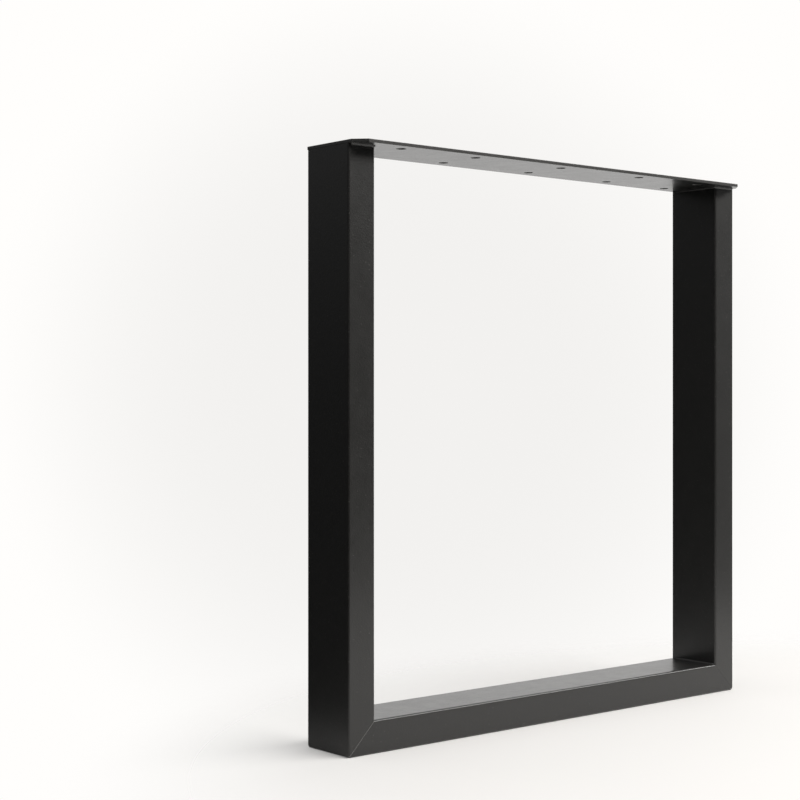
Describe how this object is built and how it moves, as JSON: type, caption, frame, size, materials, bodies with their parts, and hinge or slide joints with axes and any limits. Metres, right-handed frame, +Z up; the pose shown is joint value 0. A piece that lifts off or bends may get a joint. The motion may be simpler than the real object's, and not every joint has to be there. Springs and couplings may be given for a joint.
{
  "type": "u shaped table leg",
  "caption": "Closed U-frame table leg of mitred rectangular steel tube with a drilled flat top plate, powder coated satin black, for standing under one end of a table top.",
  "frame": {"origin": "centre of the rail's face on the floor", "axes": "+Z up, +X along the leg's length, -Y towards the side that the top plate overhangs"},
  "size_m": [0.7, 0.1, 0.72],
  "materials": {
    "black_coat": "satin black powder coat with a fine grain"
  },
  "bodies": {
    "root": {"left_upright": "black_coat", "right_upright": "black_coat", "floor_rail": "black_coat", "top_plate": "black_coat", "left_plate_weld": "black_coat", "right_plate_weld": "black_coat", "left_corner_weld": "black_coat", "right_corner_weld": "black_coat"}
  },
  "joints": []
}
